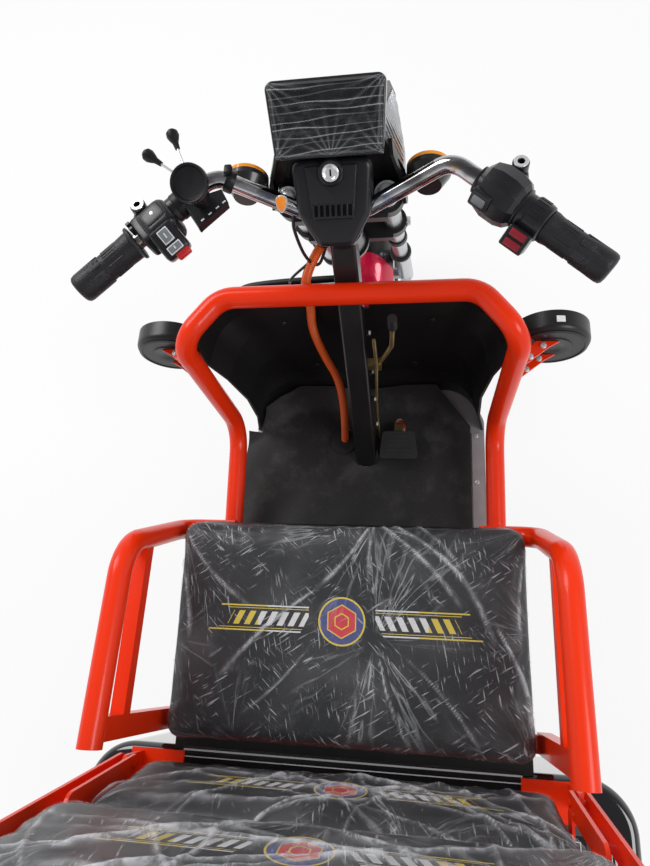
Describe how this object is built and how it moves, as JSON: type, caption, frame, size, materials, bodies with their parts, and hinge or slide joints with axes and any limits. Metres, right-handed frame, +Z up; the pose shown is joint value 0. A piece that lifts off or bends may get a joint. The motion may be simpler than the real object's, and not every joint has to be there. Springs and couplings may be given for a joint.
{
  "type": "electric cargo tricycle",
  "caption": "Small electric cargo tricycle with a steered front wheel, bench seat with armrests, folding rear backrest and an open cargo box with a drop tailgate.",
  "frame": {"origin": "on the ground, below the middle of the vehicle's bounding box", "axes": "+Y forward along the vehicle, +X to the rider's right, +Z up"},
  "size_m": [0.816, 2.0803, 0.966],
  "materials": {
    "frame_paint": "gloss",
    "black_paint": "satin",
    "black_plastic": "matte",
    "gloss_black": "gloss",
    "floor_metal": "satin",
    "rubber": "matte",
    "tyre_rubber": "matte",
    "rim_metal": "satin",
    "vinyl": "semi-gloss",
    "chrome": "polished",
    "cast": "satin",
    "crimson": "gloss",
    "zinc": "satin",
    "orange_plastic": "matte",
    "clear_lens": "clear",
    "red_lens": "gloss",
    "spring_steel": "satin",
    "board": "gloss",
    "screen": "gloss",
    "fork_metal": "satin",
    "battery": "matte"
  },
  "bodies": {
    "chassis": {"main_frame": "frame_paint", "down_tube": "black_paint", "front_loop": "frame_paint", "leg_shield": "black_plastic", "floor_plate": "floor_metal", "floor_mat": "rubber", "battery_box": "black_paint", "battery_pack": "battery", "armrest_left": "frame_paint", "armrest_right": "frame_paint", "cargo_box": "frame_paint", "rear_fender_left": "gloss_black", "rear_fender_right": "gloss_black", "tail_lamps": "red_lens", "side_lamp_left": "gloss_black", "side_lamp_right": "gloss_black", "brake_pedal": "rubber", "pedal_arm": "black_paint", "parking_lever": "zinc", "conduit": "orange_plastic", "rear_axle": "cast", "leaf_springs": "spring_steel", "rear_apron": "gloss_black"},
    "steering": {"fork_yoke": "black_paint", "fork_legs": "fork_metal", "handlebar": "chrome", "grip_left": "rubber", "grip_right": "rubber", "switch_pod_left": "black_plastic", "switch_pod_right": "black_plastic", "lock_cover": "black_plastic", "display": "screen", "lamp_nacelle": "gloss_black", "headlamp_lens": "clear_lens", "front_signals": "gloss_black", "front_fender": "crimson", "phone_holder": "black_plastic", "fender_brace": "black_paint"},
    "front_wheel": {"front_tyre": "tyre_rubber", "front_rim": "rim_metal"},
    "rear_wheel_left": {"rear_tyre_left": "tyre_rubber", "rear_rim_left": "rim_metal"},
    "rear_wheel_right": {"rear_tyre_right": "tyre_rubber", "rear_rim_right": "rim_metal"},
    "driver_seat": {"seat_pan": "black_paint", "driver_cushion": "vinyl"},
    "lower_backrest": {"lower_pad": "vinyl", "lower_pad_frame": "board"},
    "upper_backrest": {"upper_pad": "vinyl", "upper_pad_frame": "board"},
    "tailgate": {"tailgate": "frame_paint"}
  },
  "joints": [
    {"name": "steering", "type": "hinge", "parent": "chassis", "child": "steering", "pos_m": [0, 0.54821, 0.72915], "axis": [0, -0.4226, 0.9063], "range_deg": [-38, 38]},
    {"name": "front_wheel_spin", "type": "hinge", "parent": "steering", "child": "front_wheel", "pos_m": [0, 0.822, 0.213], "axis": [1, 0, 0], "continuous": true},
    {"name": "rear_wheel_left_spin", "type": "hinge", "parent": "chassis", "child": "rear_wheel_left", "pos_m": [-0.345, -0.49, 0.213], "axis": [1, 0, 0], "continuous": true},
    {"name": "rear_wheel_right_spin", "type": "hinge", "parent": "chassis", "child": "rear_wheel_right", "pos_m": [0.345, -0.49, 0.213], "axis": [1, 0, 0], "continuous": true},
    {"name": "driver_seat_tip", "type": "hinge", "parent": "chassis", "child": "driver_seat", "pos_m": [0, 0.15, 0.494], "axis": [-1, 0, 0], "range_deg": [0, 60]},
    {"name": "lower_backrest_fold", "type": "hinge", "parent": "chassis", "child": "lower_backrest", "pos_m": [0, -0.212, 0.52], "axis": [1, 0, 0], "range_deg": [0, 82]},
    {"name": "upper_backrest_fold", "type": "hinge", "parent": "chassis", "child": "upper_backrest", "pos_m": [0, -0.212, 0.52], "axis": [1, 0, 0], "range_deg": [0, 82]},
    {"name": "tailgate_drop", "type": "hinge", "parent": "chassis", "child": "tailgate", "pos_m": [0, -1.013, 0.303], "axis": [1, 0, 0], "range_deg": [0, 90]}
  ]
}
